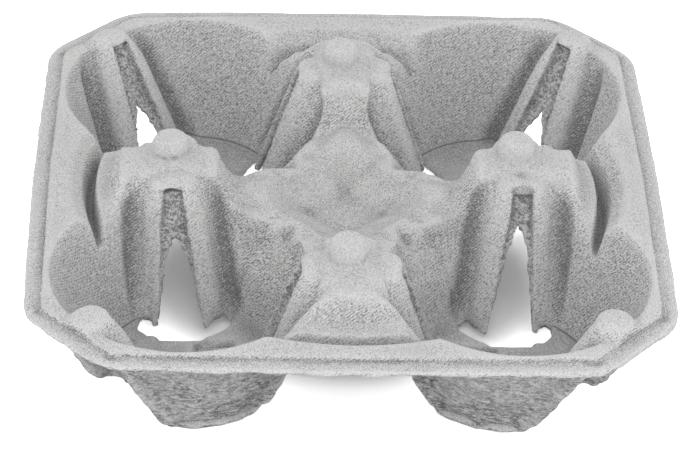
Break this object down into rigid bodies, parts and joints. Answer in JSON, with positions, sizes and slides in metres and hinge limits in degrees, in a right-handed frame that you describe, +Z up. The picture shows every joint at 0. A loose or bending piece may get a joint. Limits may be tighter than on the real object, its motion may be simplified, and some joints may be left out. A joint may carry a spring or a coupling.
{
  "type": "moulded pulp cup carrier",
  "caption": "Square moulded pulp tray with round cup pockets, hollow posts between them, torn-open grip ribs, a dish in the middle and a flat rim.",
  "frame": {"origin": "middle of the tray, on the surface that its four feet stand on", "axes": "+Z up out of the pockets, +X and +Y along the sides of the rim"},
  "size_m": [0.217, 0.217, 0.0619],
  "materials": {
    "pulp": "matte grey paper fibre, fine screen imprint inside, rough and lumpy outside"
  },
  "bodies": {
    "root": {"tray": "pulp"}
  },
  "joints": []
}
